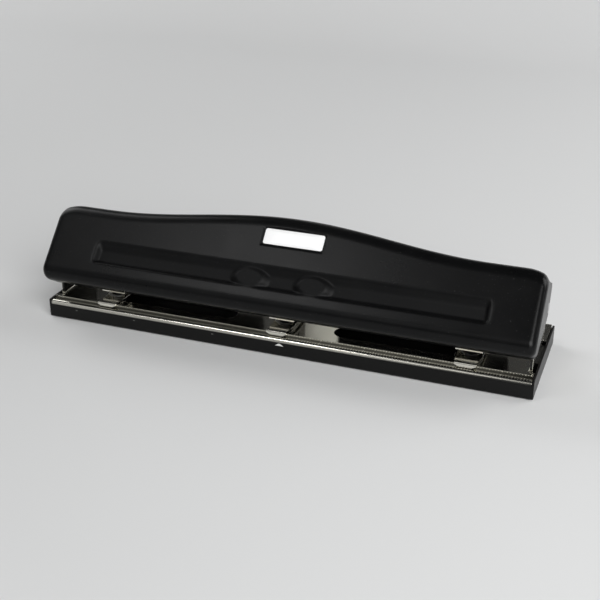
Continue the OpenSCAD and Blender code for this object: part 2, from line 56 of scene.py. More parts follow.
# %% [markdown]
# ## The camera comes first
# The photograph was taken from the front right, looking down at about 25 degrees with a mild
# telephoto lens. The numbers come from fitting a pinhole camera to the punch's own edges.

# %% Camera
CAMERA_AT = Vector((204.4, -540.6, 294.65)) * MM
CAMERA_AIM = Vector((15.59, -30.9, 37.49)) * MM
FOCAL_PIXELS, FRAME_PIXELS, SENSOR = 1100.8, 600, 36.0

camera_data = bpy.data.cameras.new("camera")
camera_data.sensor_width = SENSOR
camera_data.lens = FOCAL_PIXELS / FRAME_PIXELS * SENSOR
camera_data.clip_start, camera_data.clip_end = 0.01, 20.0
camera = bpy.data.objects.new("camera", camera_data)
camera.location = CAMERA_AT
camera.rotation_mode = "QUATERNION"
camera.rotation_quaternion = (CAMERA_AIM - CAMERA_AT).to_track_quat("-Z", "Y")
bpy.context.scene.collection.objects.link(camera)
bpy.context.scene.camera = camera
print("lens in mm:", round(camera_data.lens, 2))

# %% [markdown]
# ## Shader maths as plain expressions
# A material is a graph of nodes, and long graphs are hard to read as code. A small class can wrap
# a socket, so that `1 - mask * 0.5` adds the Math nodes by itself. Every other kind of node comes
# from one method that takes its type, its settings and its sockets.

# %% A socket that can be used in expressions
class Wire:
    """An output socket; + - * / on it add Math nodes, and add() adds any other node."""

    def __init__(self, tree, socket=None):
        self.tree, self.socket = tree, socket

    def add(self, kind, settings=None, sockets=None, out=0):
        """New node of a kind: first its settings, then the values or links of its sockets."""
        node = self.tree.nodes.new(kind)
        for key, value in (settings or {}).items():
            setattr(node, key, value)
        for key, value in (sockets or {}).items():
            if isinstance(value, Wire):
                self.tree.links.new(value.socket, node.inputs[key])
            else:
                node.inputs[key].default_value = value
        return Wire(self.tree, node.outputs[out])

    def math(self, operation, *values):
        return self.add("ShaderNodeMath", {"operation": operation}, dict(enumerate(values)))

    def __add__(self, other):
        return self.math("ADD", self, other)

    def __radd__(self, other):
        return self.math("ADD", other, self)

    def __sub__(self, other):
        return self.math("SUBTRACT", self, other)

    def __rsub__(self, other):
        return self.math("SUBTRACT", other, self)

    def __mul__(self, other):
        return self.math("MULTIPLY", self, other)

    def __rmul__(self, other):
        return self.math("MULTIPLY", other, self)

    def __truediv__(self, other):
        return self.math("DIVIDE", self, other)

    def __gt__(self, other):
        return self.math("GREATER_THAN", self, other)

    def __lt__(self, other):
        return self.math("LESS_THAN", self, other)

    def __abs__(self):
        return self.math("ABSOLUTE", self)

    def axes(self):
        """The three parts of a vector."""
        node = self.tree.nodes.new("ShaderNodeSeparateXYZ")
        self.tree.links.new(self.socket, node.inputs[0])
        return [Wire(self.tree, socket) for socket in node.outputs]

    def stretched(self, x, y, z):
        return self.add("ShaderNodeVectorMath", {"operation": "MULTIPLY"}, {0: self, 1: (x, y, z)})

    def noise(self, scale, detail, rough=0.5):
        """Smooth random values round 0.5, scale waves in a metre."""
        return self.add("ShaderNodeTexNoise", None,
                        {"Vector": self, "Scale": scale, "Detail": detail, "Roughness": rough})

    def between(self, low, high):
        """0 below low, 1 above high and a straight rise between them."""
        return self.add("ShaderNodeMapRange", {"clamp": True},
                        {0: self, 1: low, 2: high, 3: 0.0, 4: 1.0})

    def mixed(self, first, second):
        """A colour that goes from first to second as this value goes from 0 to 1."""
        return self.add("ShaderNodeMix", {"data_type": "RGBA"},
                        {0: self, 6: colour(first), 7: colour(second)}, out=2)

    def bump(self, depth, strength):
        """A normal for this height, with depth in metres for a height of 1."""
        return self.add("ShaderNodeBump", None,
                        {"Height": self, "Distance": depth, "Strength": strength})


def colour(value):
    """RGB triples become RGBA, and wires stay as they are."""
    return value if isinstance(value, Wire) else (*value, 1.0)


def finish_of(name, recipe, **constants):
    """A material: recipe(place) gives the sockets that vary, and constants are set as they are."""
    material = bpy.data.materials.new(name)
    material.use_nodes = True
    tree = material.node_tree
    shader = tree.nodes["Principled BSDF"]
    for key, value in constants.items():
        shader.inputs[key.replace("_", " ")].default_value = value
    place = Wire(tree).add("ShaderNodeTexCoord", out="Object")
    for key, wire in recipe(place).items():
        tree.links.new(wire.socket, shader.inputs[key])
    return material


print("shader helpers ready")

# %% [markdown]
# ## Black enamel on the handle
# The handle is pressed steel with a semi-gloss black enamel. Such a coat is never quite flat: it
# has a fine orange peel, it is a little duller where hands have rubbed it, and it holds specks of
# dust. The pressed channel is duller than the rest of the face. A flat black would read as plastic,
# so the gloss varies and a fine bump breaks the reflections. The recipe looks up the channel's
# place among the handle's sizes, so the material itself is made further down, beside those.

# %% Enamel
# Widths in mm over which the dull finish fades at the foot, the top and the ends of the channel
DULL_FOOT, DULL_TOP, DULL_END = 2.0, 4.0, 2.0


def enamel(place):
    """Black with a fine peel, rubbed patches, a few pale specks and a dull channel."""
    peel = place.noise(620, 2.0)
    rubbed = place.noise(38, 4.0, 0.6)
    specks = place.noise(1500, 1.0).between(0.735, 0.76)
    tone = rubbed.between(0.3, 0.75).mixed((0.0026, 0.0027, 0.0029), (0.0042, 0.0043, 0.0045))
    x, y, z = place.axes()
    up_face = (y * FACE_U[0] + z * FACE_U[1]) / MM - (FACE_P - [Y_MID, 0]) @ FACE_U
    past_foot = up_face.between(CHANNEL_S, CHANNEL_S + DULL_FOOT)
    past_top = up_face.between(CHANNEL_TOP - DULL_TOP, CHANNEL_TOP)
    past_end = abs(x / MM - PRESS_X).between(CHANNEL_HALF - DULL_END, CHANNEL_HALF)
    dull = past_foot * (1 - past_top) * (1 - past_end)
    return {
        "Base Color": specks.mixed(tone, (0.03, 0.03, 0.03)),
        "Roughness": 0.23 + 0.12 * rubbed + 0.25 * specks + 0.22 * dull,
        "Normal": peel.bump(0.00004, 0.4),
    }


print("enamel recipe ready")

# %% [markdown]
# ## Nickel, steel, plastic and rubber
# The deck and the heads are nickel plated. The plating mirrors the black handle above it, which is
# why it looks so dark in the photograph, and only its bends catch the light. Low on the front the
# plate is shown with black lacquer, and inside the ears black is painted on as painted shade. The
# pins and springs are plain steel, and the tray below is moulded in black plastic with a fine grain.
# One gloss for each would do from afar, but stretched noise gives the faint lines of rolled and
# turned metal.

# %% Metals
def nickel(place):
    drawn = place.stretched(0.04, 1, 1).noise(2600, 3.0)
    smudge = place.noise(55, 4.0, 0.6)
    return {
        "Base Color": smudge.between(0.35, 0.7).mixed((0.86, 0.84, 0.76), (0.78, 0.76, 0.68)),
        "Roughness": 0.07 + 0.08 * smudge + 0.05 * drawn,
        "Normal": drawn.bump(0.00001, 0.25),
    }


def turned_steel(place):
    rings = place.stretched(0.05, 0.05, 1).noise(4200, 2.0)
    tarnish = place.noise(120, 3.0)
    return {
        "Base Color": tarnish.mixed((0.58, 0.58, 0.58), (0.46, 0.46, 0.47)),
        "Roughness": 0.24 + 0.14 * rings,
        "Normal": rings.bump(0.00001, 0.3),
    }


def spring_wire(place):
    drawn = place.noise(900, 3.0)
    return {
        "Base Color": drawn.mixed((0.52, 0.52, 0.54), (0.40, 0.40, 0.42)),
        "Roughness": 0.28 + 0.15 * drawn,
    }


plated_nickel = finish_of("plated_nickel", nickel, Metallic=1.0)
bright_steel = finish_of("bright_steel", turned_steel, Metallic=1.0)
drawn_wire = finish_of("drawn_wire", spring_wire, Metallic=1.0)
print("made", plated_nickel.name, bright_steel.name, drawn_wire.name)

# %% Ruler strip and lacquer on the base plate
# An inch, the front end of the lines, the upper limit of the strip, and where along it they start
RULER_UNIT, RULER_FRONT, RULER_TOP, RULER_START = 0.0254, -0.0298, 0.0118, 0.002
# Divisions of the inch with the lengths of their lines, half a line's width, and a shift in divisions
RULER_LINES = ((1 / 16, 0.0016), (1 / 4, 0.0022), (1.0, 0.0030))
LINE_HALF, LINE_SHIFT = 0.00013, 400.48
# Depths between which the strip is painted darker than the deck, as painted shade
STRIP_FROM, STRIP_TO = -0.0293, -0.0287
# Heights between which lacquer gives way to bare nickel, and how far each has moved at the right,
# which shapes a painted highlight
LACQUER_LOW, LACQUER_HIGH, RIGHT_END = 0.0088, 0.0101, 0.12
LOW_RISE, HIGH_FALL = 0.00085, 0.0002
# Foot of the ears, the middle between them, and the reach of the painted shade from it, which stops
# short of their outer faces
EAR_FOOT, EAR_MID, EAR_SKIN = 0.0137, 0.0008, 0.1418
# The black where the nickel is not bare is the front's lacquer and, inside the ears, painted shade
LACQUER_AND_SHADE, STRIP_SHADE, LINE_TONE = (0.008, 0.008, 0.007), (0.24, 0.235, 0.21), (0.80, 0.78, 0.72)


def ruled_nickel(place):
    """Nickel with inch ruler lines on the front strip, black lacquer low down, painted shade in the
    ears and strip.
    """
    plain = nickel(place)
    x, y, z = place.axes()
    lines = None
    for share, reach in RULER_LINES:
        turn = x.math("FRACT", x / (RULER_UNIT * share) + LINE_SHIFT)
        near = abs(turn - 0.5) < LINE_HALF / (RULER_UNIT * share)
        mark = near * (y < RULER_FRONT + reach) * (y > RULER_FRONT)
        mark = mark * (z < RULER_TOP) * (x > RULER_START)
        lines = mark if lines is None else lines.math("MAXIMUM", lines, mark)
    # The lacquer is the front's own black, but its soft edge and the bare band narrowing at the right
    # are a painted highlight that shapes the bend's bright line
    right = x.between(0.0, RIGHT_END)
    edge_low = LACQUER_LOW + LOW_RISE * right
    edge_high = LACQUER_HIGH - HIGH_FALL * right
    bare = ((z - edge_low) / (edge_high - edge_low)).between(0.0, 1.0)
    # Inside the ears the nickel turns black as painted shade, short of their outer faces
    ear_painted_shade = (z > EAR_FOOT) * (abs(x - EAR_MID) < EAR_SKIN)
    bare = bare * (1 - ear_painted_shade)
    # The strip's darker tone of the same nickel is painted shade
    strip = y.between(STRIP_FROM, STRIP_TO) * (z < RULER_TOP)
    metal = strip.mixed(plain["Base Color"], STRIP_SHADE)
    return {
        "Base Color": bare.mixed(LACQUER_AND_SHADE, lines.mixed(metal, LINE_TONE)),
        "Metallic": bare,
        "Roughness": plain["Roughness"] + 0.3 * lines,
        "Normal": plain["Normal"],
    }


deck_nickel = finish_of("deck_nickel", ruled_nickel, Specular_IOR_Level=0.3)
print("made", deck_nickel.name)

# %% Plastics and rubber
def moulded(place):
    grain = place.noise(2400, 2.0)
    patch = place.noise(45, 3.0)
    return {
        "Base Color": patch.mixed((0.0025, 0.0025, 0.0025), (0.0045, 0.0044, 0.0041)),
        "Roughness": 0.27 + 0.12 * patch + 0.06 * grain,
        "Normal": grain.bump(0.00003, 0.4),
    }


def soft_rubber(place):
    grain = place.noise(1800, 3.0)
    return {
        "Base Color": grain.mixed((0.012, 0.012, 0.012), (0.024, 0.024, 0.023)),
        "Roughness": 0.72 + 0.2 * grain,
        "Normal": grain.bump(0.00006, 0.5),
    }


def white_film(place):
    mottle = place.noise(300, 3.0)
    return {
        "Base Color": mottle.mixed((0.97, 0.97, 0.97), (0.92, 0.92, 0.92)),
        "Roughness": 0.24 + 0.12 * mottle,
    }


def thin_print(pale, dark):
    """A recipe for print whose tone wanders between pale and dark."""
    def recipe(place):
        thin = place.noise(2500, 2.0)
        return {"Base Color": thin.mixed(pale, dark), "Roughness": 0.5 + 0.2 * thin}
    return recipe


black_plastic = finish_of("black_plastic", moulded, Specular_IOR_Level=0.22)
black_rubber = finish_of("black_rubber", soft_rubber)
label_film = finish_of("label_film", white_film)
scale_print = finish_of("scale_print", thin_print((0.78, 0.78, 0.76), (0.55, 0.55, 0.53)))
worn_print = finish_of("worn_print", thin_print((0.11, 0.11, 0.10), (0.04, 0.04, 0.04)))
print("made", black_plastic.name, black_rubber.name, label_film.name, scale_print.name,
      worn_print.name)

# %% [markdown]
# ## Surfaces as grids
# A pressed sheet, a spring and a label can all be written as points on a grid of two parameters.
# Several grids, or patches, are laid edge to edge, the doubled points along the seams are merged,
# and the result is one closed skin whose faces point outwards.

# %% Patches to a piece
# Points closer than MERGE are one point, and edges shorter than SLIVER are dropped, in metres
MERGE, SLIVER = 2e-6, 1e-7


def patch_faces(rows, cols, start):
    """Corner numbers of every cell of a rows by cols grid whose first point is start."""
    i, j = np.meshgrid(np.arange(rows - 1), np.arange(cols - 1), indexing="ij")
    a = start + i * cols + j
    return np.stack([a, a + cols, a + cols + 1, a + 1], -1).reshape(-1, 4)


def surface(name, patches, body, material, smooth_to):
    """A closed piece from patches in mm, each an array of rows x columns x 3."""
    points, faces, start = [], [], 0
    for grid in patches:
        rows, cols, _ = grid.shape
        points.append(grid.reshape(-1, 3))
        faces.append(patch_faces(rows, cols, start))
        start += rows * cols
    mesh = bpy.data.meshes.new(name)
    mesh.from_pydata((np.concatenate(points) * MM).tolist(), [], np.concatenate(faces).tolist())
    shell = bmesh.new()
    shell.from_mesh(mesh)
    bmesh.ops.remove_doubles(shell, verts=shell.verts, dist=MERGE)
    bmesh.ops.dissolve_degenerate(shell, edges=shell.edges, dist=SLIVER)
    bmesh.ops.recalc_face_normals(shell, faces=shell.faces)
    open_edges = sum(not edge.is_manifold for edge in shell.edges)
    shell.to_mesh(mesh)
    shell.free()
    return shown(name, mesh, body, material, smooth_to, open_edges)


def shown(name, mesh, body, material, smooth_to, open_edges):
    """Links a mesh as an object that rides on a body; edges up to smooth_to degrees are smooth."""
    mesh.shade_smooth()
    mesh.set_sharp_from_angle(angle=math.radians(smooth_to))
    mesh.materials.clear()
    mesh.materials.append(material)
    piece = bpy.data.objects.new(name, mesh)
    bpy.context.scene.collection.objects.link(piece)
    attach(piece, body)
    print(f"{name}: {len(mesh.polygons)} faces, {open_edges} open edges, rides on {body}")
    return piece


def steps(start, end, count):
    """Even steps from start to end, without the start itself."""
    return np.linspace(start, end, count + 1)[1:]


def unit(degrees):
    """Directions in the depth and height plane, from +Y towards +Z."""
    turn = np.radians(np.asarray(degrees, float))
    return np.stack([np.cos(turn), np.sin(turn)], -1)


print("surface helpers ready")

# %% [markdown]
# ## The pressed handle
# The handle is one sheet of steel. Across the punch it runs from a lip, round a nose, up a sloped
# face, over a rolled ridge and down a back slope into a skirt. Along the punch its top edge swells
# into a low hump, a long channel is pressed into the face, two domes rise again from the channel
# for the fingers, and a shallow recess takes the label. It could be sculpted, but each of these is
# a simple formula, so the skin is one function of the place along the punch and the place across
# it. The same skin, moved inwards by the sheet's thickness, gives the inside.

# %% Handle sizes
# Depth of the base; thickness, half length, end rounding and sideways offset of the handle
BASE_D = 70.0
SHEET, HANDLE_X, END_R, HANDLE_OFF = 1.2, 144.6, 4.2, 0.8
# Edge of the lip in depth and height, its length and angle, the nose and the angle of the face
LIP = np.array([3.0, 22.5])
LIP_LEN, LIP_A, NOSE_R, FACE_A = 9.3, 32.0, 7.0, 46.0
# Height of the top edge, its hump, the radius of the roll, and the drop close to each end
END_TOP, HUMP_RISE, HUMP_HALF, TOP_R = 64.3, 7.1, 114.0, 9.5
END_DROP, DROP_LEN = 2.5, 8.0
# Bend at the back, and the skirt below it with its inner and outer ends
BACK_Y, BACK_Z, BACK_R = 42.0, 46.3, 6.0
SKIRT_Z, SKIRT_IN, SKIRT_OUT, SKIRT_RAMP, SHORT_EDGE = 24.0, 22.0, 126.0, 2.0, 0.8
# Rear corner of the end walls, the ears they close on, and the pivot bore
WALL_Z, WALL_INSET, EAR_X, SIDE_GAP = 32.0, 2.0, 142.0, 0.3
PIVOT = np.array([36.0, 38.0])
BORE_R = 3.05
# Channel: distance up the face, widths of its parts, middle, half length and depth
CHANNEL_S, CHANNEL_W, CHANNEL_LOW, CHANNEL_FLOOR = 4.8, 15.0, 3.0, 5.5
PRESS_X, CHANNEL_HALF, CHANNEL_END, CHANNEL_Q = 2.7, 116.0, 3.5, 3.0
# Domes: distance from the middle, radii, width of the side as a share, and place in the channel
DOME_X, DOME_RX, DOME_RS, DOME_SIDE, DOME_SHARE = 18.5, 12.5, 7.5, 0.45, 0.4
# Label and its recess
LABEL_W, LABEL_H, LABEL_X, LABEL_T, LABEL_R = 35.0, 9.3, 4.0, 0.35, 1.2
LABEL_EDGE, RECESS_GAP, RECESS_WALL, RECESS_Q = 1.0, 0.4, 1.0, 0.6

# %% Places that follow from the sizes
NOSE_C = LIP + LIP_LEN * unit(180 - LIP_A) + NOSE_R * unit(90 - LIP_A)
FACE_P = NOSE_C + NOSE_R * unit(90 + FACE_A)
FACE_U, FACE_IN = unit(FACE_A), unit(FACE_A - 90)
ROLL_LEN = TOP_R * math.tan(math.radians(FACE_A / 2))
FLAT_X = HANDLE_X - END_R
DROP_X = FLAT_X - DROP_LEN
CHANNEL_TOP = CHANNEL_S + CHANNEL_W
DOME_S = CHANNEL_S + DOME_SHARE * CHANNEL_W
Y_MID = (BASE_D + NOSE_C[0] - NOSE_R) / 2
REAR_CORNER = np.array([BACK_Y - WALL_INSET, WALL_Z])
# The end walls lean in with the distance behind the face, up to a gap at the ears
LEAN = (HANDLE_X - SHEET - EAR_X - SIDE_GAP) / ((REAR_CORNER - FACE_P) @ FACE_IN - END_R)
black_enamel = finish_of("black_enamel", enamel, Specular_IOR_Level=0.16)
print("middle of the depth in mm:", round(Y_MID, 3))


# %% Handle formulas
def top_z(x):
    """Height of the top edge: a cosine hump on a level line that falls away at the ends."""
    hump = HUMP_RISE * (1 + np.cos(np.pi * x / HUMP_HALF)) / 2
    drop = END_DROP * (np.maximum(0, np.abs(x) - DROP_X) / (HANDLE_X - DROP_X)) ** 2
    return END_TOP + np.where(np.abs(x) < HUMP_HALF, hump, 0.0) - drop


def corner_y(z):
    """Depth at which the sloped face would meet the height z."""
    return FACE_P[0] + (z - FACE_P[1]) / math.tan(math.radians(FACE_A))


def eased(t):
    """3 t^2 - 2 t^3 between 0 and 1: a step with soft ends."""
    t = np.clip(t, 0, 1)
    return t * t * (3 - 2 * t)


def face_end(x):
    """Length of the sloped face, from the nose up to the roll."""
    return (top_z(x) - FACE_P[1]) / math.sin(math.radians(FACE_A)) - ROLL_LEN


LABEL_S = float(face_end(LABEL_X)) - LABEL_EDGE - LABEL_H / 2


def pressed(x, s):
    """Depth of the press at x along and s up the face: channel, domes and the label's recess."""
    across = eased((s - CHANNEL_S) / CHANNEL_LOW)
    across = across * eased((CHANNEL_TOP - s) / (CHANNEL_W - CHANNEL_LOW - CHANNEL_FLOOR))
    along = eased((CHANNEL_HALF - np.abs(x - PRESS_X)) / CHANNEL_END)
    off = np.hypot((np.abs(x - PRESS_X) - DOME_X) / DOME_RX, (s - DOME_S) / DOME_RS)
    dome = eased((1 - off) / DOME_SIDE)
    reach = RECESS_GAP + RECESS_WALL
    recess = eased((LABEL_W / 2 + reach - np.abs(x - LABEL_X)) / RECESS_WALL)
    recess = recess * eased((LABEL_H / 2 + reach - np.abs(s - LABEL_S)) / RECESS_WALL)
    return CHANNEL_Q * across * along * (1 - dome) + RECESS_Q * recess


def low_z(x):
    """Lower edge of the back: a skirt in two halves, and a short edge between and beyond them."""
    skirt = np.clip((np.abs(x) - SKIRT_IN) / SKIRT_RAMP, 0, 1)
    skirt = skirt * np.clip((SKIRT_OUT - np.abs(x)) / SKIRT_RAMP, 0, 1)
    return BACK_Z - SHORT_EDGE - (BACK_Z - SHORT_EDGE - SKIRT_Z) * skirt


print("middle of the label up the face in mm:", round(LABEL_S, 2))

# %% Places along the handle
# Even places, closer ones round the domes, and more across each end of the channel and the recess
COARSE, CLOSE, CLOSE_HALF = 100, 76, 32
END_STEPS, CHANNEL_STEPS, RECESS_STEPS, MARGIN = 12, 12, 8, 0.3
LABEL_SIDE = LABEL_W / 2 + RECESS_GAP

channel_end = CHANNEL_HALF - steps(-MARGIN, CHANNEL_END + MARGIN, CHANNEL_STEPS)
recess_end = LABEL_SIDE + steps(-MARGIN, RECESS_WALL + MARGIN, RECESS_STEPS)
skirt_ends = np.array([SKIRT_IN, SKIRT_IN + SKIRT_RAMP, SKIRT_OUT - SKIRT_RAMP, SKIRT_OUT])
places = [np.linspace(-FLAT_X, FLAT_X, COARSE),
          PRESS_X + np.linspace(-CLOSE_HALF, CLOSE_HALF, CLOSE)]
for sign in (-1, 1):
    places += [PRESS_X + sign * channel_end, LABEL_X + sign * recess_end, sign * skirt_ends]
places = np.unique(np.round(np.concatenate(places), 1))
end_turn = steps(0, 90, END_STEPS)
PLACE = np.concatenate([np.full(END_STEPS, -FLAT_X), places, np.full(END_STEPS, FLAT_X)])
TURN = np.radians(np.concatenate([-end_turn[::-1], 0 * places, end_turn]))
print("stations along the handle:", len(PLACE))

# %% Skins of the handle
# Grid rows across each stretch of the section, and the share of the lip that has rows of its own
LIP_ROWS, NOSE_ROWS, FOOT_ROWS, CHANNEL_ROWS, FACE_ROWS = 5, 15, 5, 28, 40
ROLL_ROWS, BACK_ROWS, BEND_ROWS, SKIRT_ROWS = 25, 5, 9, 4
LIP_SHARE = 0.8


def handle_skin(depth):
    """Skin of the handle at a depth in the sheet: arcs keep their centres and lines move in."""
    round_r = END_R - depth
    x = (PLACE + round_r * np.sin(TURN))[:, None]
    inset = (round_r * (1 - np.cos(TURN)))[:, None]
    both = (depth + inset)[..., None]
    top = top_z(x)
    along_lip = LIP_LEN * np.linspace(0, LIP_SHARE, LIP_ROWS)[:, None]
    lip = LIP + both * unit(90 - LIP_A) + along_lip * unit(180 - LIP_A)
    nose = NOSE_C + (NOSE_R - both) * unit(np.linspace(270 - LIP_A, 90 + FACE_A, NOSE_ROWS))
    low = np.concatenate([steps(0, CHANNEL_S, FOOT_ROWS),
                          steps(CHANNEL_S, CHANNEL_TOP, CHANNEL_ROWS)])
    high = CHANNEL_TOP + (face_end(x) - CHANNEL_TOP) * steps(0, 1, FACE_ROWS)[:-1]
    s = np.concatenate([np.broadcast_to(low, (len(x), len(low))), high], 1)
    face = FACE_P + both * FACE_IN + s[..., None] * FACE_U + pressed(x, s)[..., None] * FACE_IN
    roll_c = np.stack([corner_y(top) + ROLL_LEN, top - TOP_R], -1)
    bend_c = np.array([BACK_Y - BACK_R, BACK_Z])
    run = bend_c - roll_c
    lead = (TOP_R - BACK_R - inset) / np.hypot(run[..., 0], run[..., 1])
    slope = np.degrees(np.arctan2(run[..., 1], run[..., 0]) + np.arccos(lead))
    start = 90 + FACE_A
    roll = roll_c + (TOP_R - both) * unit(start + (slope - start) * np.linspace(0, 1, ROLL_ROWS))
    bend = bend_c + (BACK_R - depth) * unit(slope * np.linspace(1, 0, BEND_ROWS))
    back = roll[:, -1:] + (bend[:, :1] - roll[:, -1:]) * steps(0, 1, BACK_ROWS)[:-1, None]
    end = np.stack([np.full_like(x, BACK_Y - depth), low_z(x)], -1)
    skirt = bend[:, -1:] + (end - bend[:, -1:]) * steps(0, 1, SKIRT_ROWS)[:, None]
    line = np.concatenate([lip, nose, face, roll, back, bend, skirt], 1)
    behind = np.maximum(0, (line - FACE_P) @ FACE_IN - both[..., 0])
    x = x - LEAN * np.sin(TURN)[:, None] * behind
    return np.concatenate([HANDLE_OFF + x[..., None], line - [Y_MID, 0]], -1)


outside, inside = handle_skin(0.0), handle_skin(SHEET)
print("handle grid:", outside.shape[:2], "points on each skin")

# %% Handle end walls and rims
# Points down and along a wall's lower edge, rings from its outline to the bore, points round a rim,
# and how far a rim bulges as a share of half the sheet
DOWN_POINTS, ALONG_STEPS, WALL_RINGS, RIM_POINTS, RIM_BULGE = 7, 24, 7, 7, 0.8
UP = [0, 0, 1.0]


def on_wall(flat, start):
    """Points of depth and height on the leaning end wall that holds the point start."""
    x = start[0] - np.sign(start[0]) * LEAN * ((flat - start[1:]) @ FACE_IN)
    return np.concatenate([x[:, None], flat], 1)


def wall_edge(skin, end):
    """Lower edge of an end wall: from the back edge by the rear corner to the lip."""
    first, last = skin[end, -1], skin[end, 0]
    corner = on_wall((REAR_CORNER - [Y_MID, 0])[None], first)[0]
    down = first + (corner - first) * np.linspace(0, 1, DOWN_POINTS)[:, None]
    along = corner + (last - corner) * steps(0, 1, ALONG_STEPS)[:, None]
    return np.concatenate([down, along])


def end_wall(skin, end):
    """Flat end: straight lines from its outline to the pivot bore, which keeps its angle."""
    outline = np.concatenate([skin[end], wall_edge(skin, end)[1:]])
    pivot = PIVOT - [Y_MID, 0]
    from_pivot = outline[:, 1:] - pivot
    bore_flat = pivot + BORE_R * from_pivot / np.linalg.norm(from_pivot, axis=1)[:, None]
    bore = on_wall(bore_flat, outline[0])
    return outline + (bore - outline) * np.linspace(0, 1, WALL_RINGS)[:, None, None]


def rolled_rim(outer, inner, inward):
    """Half-round edge between two lines of a sheet; inward points back into the sheet."""
    middle, half = (outer + inner) / 2, (outer - inner) / 2
    out = -inward / np.linalg.norm(inward, axis=-1, keepdims=True)
    out = out * np.linalg.norm(half, axis=-1, keepdims=True)
    turn = np.linspace(0, np.pi, RIM_POINTS)[:, None, None]
    return middle + half * np.cos(turn) + RIM_BULGE * out * np.sin(turn)


def sheet_loop(skin):
    """The handle's open edge as one loop: lip, right wall, skirt, left wall."""
    left, right = wall_edge(skin, 0), wall_edge(skin, -1)
    return np.concatenate([skin[:, 0], right[::-1][1:], skin[::-1, -1][1:], left[1:]])


loop_out, loop_in = sheet_loop(outside), sheet_loop(inside)
into_sheet = np.concatenate([
    outside[:, 1] - outside[:, 0],
    np.tile(UP, (len(wall_edge(outside, -1)) - 2, 1)),
    (outside[:, -2] - outside[:, -1])[::-1],
    np.tile(UP, (len(wall_edge(outside, 0)) - 2, 1)),
    outside[:1, 1] - outside[:1, 0],
])
rim = rolled_rim(loop_out, loop_in, into_sheet)
walls = [end_wall(skin, end) for end in (0, -1) for skin in (outside, inside)]
bores = [np.stack([walls[k][-1], walls[k + 1][-1]]) for k in (0, 2)]
handle = surface("handle_shell", [outside, inside, rim, *walls, *bores], "handle",
                 black_enamel, smooth_to=50)
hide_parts("handle")

# %% [markdown]
# ## Metal pieces with eased edges
# Real sheet metal and turned steel have no perfectly sharp edges: each edge is eased by a few tenths
# of a millimetre at most, and that is what catches the light. The CAD solids have the right shapes,
# so a copy of each is merged into one skin, its flat faces are joined again, and a Bevel modifier
# eases the edges. A Weighted Normal modifier keeps the flat faces flat in the reflections. The
# moulded tray and the rubber feet are made in the same way.

# %% Copies of CAD solids
# Degrees within which faces are joined, from which an edge is eased, and up to which all is smooth
FLAT_WITHIN, EASED_FROM, ALL_SMOOTH = 0.6, 35, 180
BEVEL_STEPS, FLAT_WEIGHT = 2, 80


def eased_copy(node, body, material, width):
    """A copy of a CAD solid with its sharp edges rounded to a width in mm."""
    skin = bmesh.new()
    skin.from_mesh(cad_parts[node].data)
    bmesh.ops.remove_doubles(skin, verts=skin.verts, dist=MERGE)
    bmesh.ops.dissolve_limit(skin, angle_limit=math.radians(FLAT_WITHIN),
                             verts=skin.verts, edges=skin.edges)
    open_edges = sum(not edge.is_manifold for edge in skin.edges)
    mesh = bpy.data.meshes.new(node + "_eased")
    skin.to_mesh(mesh)
    skin.free()
    piece = shown(node + "_eased", mesh, body, material, ALL_SMOOTH, open_edges)
    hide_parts(node)
    bevel = piece.modifiers.new("eased_edges", "BEVEL")
    bevel.width, bevel.segments = width * MM, BEVEL_STEPS
    bevel.limit_method, bevel.angle_limit = "ANGLE", math.radians(EASED_FROM)
    bevel.use_clamp_overlap = True
    flat = piece.modifiers.new("flat_faces", "WEIGHTED_NORMAL")
    flat.keep_sharp, flat.weight = True, FLAT_WEIGHT


SIDES = ("left", "right")
HEADS = ("left", "centre", "right")
HEAD_BODY = {"left": "head_left", "centre": "base", "right": "head_right"}

eased_copy("base_plate", "base", deck_nickel, 0.2)
eased_copy("chip_tray", "tray", black_plastic, 0.35)
eased_copy("rubber_feet", "tray", black_rubber, 0.2)
eased_copy("pressure_bar", "handle", bright_steel, 0.3)
eased_copy("centre_head_rivets", "base", plated_nickel, 0.2)
for side in SIDES:
    eased_copy("pivot_pin_" + side, "base", bright_steel, 0.25)
    eased_copy("lock_screw_" + side, "screw_" + side, plated_nickel, 0.2)
    eased_copy("clamp_nut_" + side, "head_" + side, bright_steel, 0.3)
for head in HEADS:
    eased_copy("head_frame_" + head, HEAD_BODY[head], plated_nickel, 0.2)
    eased_copy("punch_die_" + head, HEAD_BODY[head], bright_steel, 0.15)
    eased_copy("punch_pin_" + head, "pin_" + head, bright_steel, 0.2)
    eased_copy("retaining_clip_" + head, "pin_" + head, drawn_wire, 0.1)

# %% [markdown]
# ## Return springs
# A coil spring stands round each pin, between the head's lower guide and the clip on the pin. Its
# wire is a circle carried along a helix, and each coil rides rigidly on the body of its head.

# %% Springs
HOLE_PITCH, HOLE_Y = 107.95, 17.5
SPRING_R, WIRE_R, CURLS = 4.52, 0.45, 5
SPRING_LOW, SPRING_HIGH, PIN_TRAVEL = 18.5, 31.0, 4.4
# Grid steps in a curl and points round the wire; level part of each end in turns; tip of the wire
CURL_STEPS, WIRE_POINTS, LEVEL_TURN, TIP_SHARE = 24, 13, 0.5, 0.001


def spring_patch(x):
    """Circle of the wire along a helix that runs level at its ends: angle and height by length."""
    turn = np.linspace(0, 2 * np.pi * (CURLS + 1), CURL_STEPS * (CURLS + 1) + 1)
    share = np.clip((turn / (2 * np.pi) - LEVEL_TURN) / CURLS, 0, 1)
    height = SPRING_LOW + WIRE_R + (SPRING_HIGH - SPRING_LOW - 2 * WIRE_R) * share
    outward = np.stack([np.cos(turn), np.sin(turn), np.zeros_like(turn)], -1)
    line = SPRING_R * outward + np.stack([0 * turn, 0 * turn, height], -1)
    ring = np.linspace(0, 2 * np.pi, WIRE_POINTS)[:, None]
    shrink = np.ones(len(turn))
    shrink[[0, -1]] = TIP_SHARE
    wire = WIRE_R * shrink[:, None, None] * (
        np.cos(ring) * outward[:, None] + np.sin(ring) * np.array(UP))
    return line[:, None] + wire + np.array([x, HOLE_Y - Y_MID, 0])


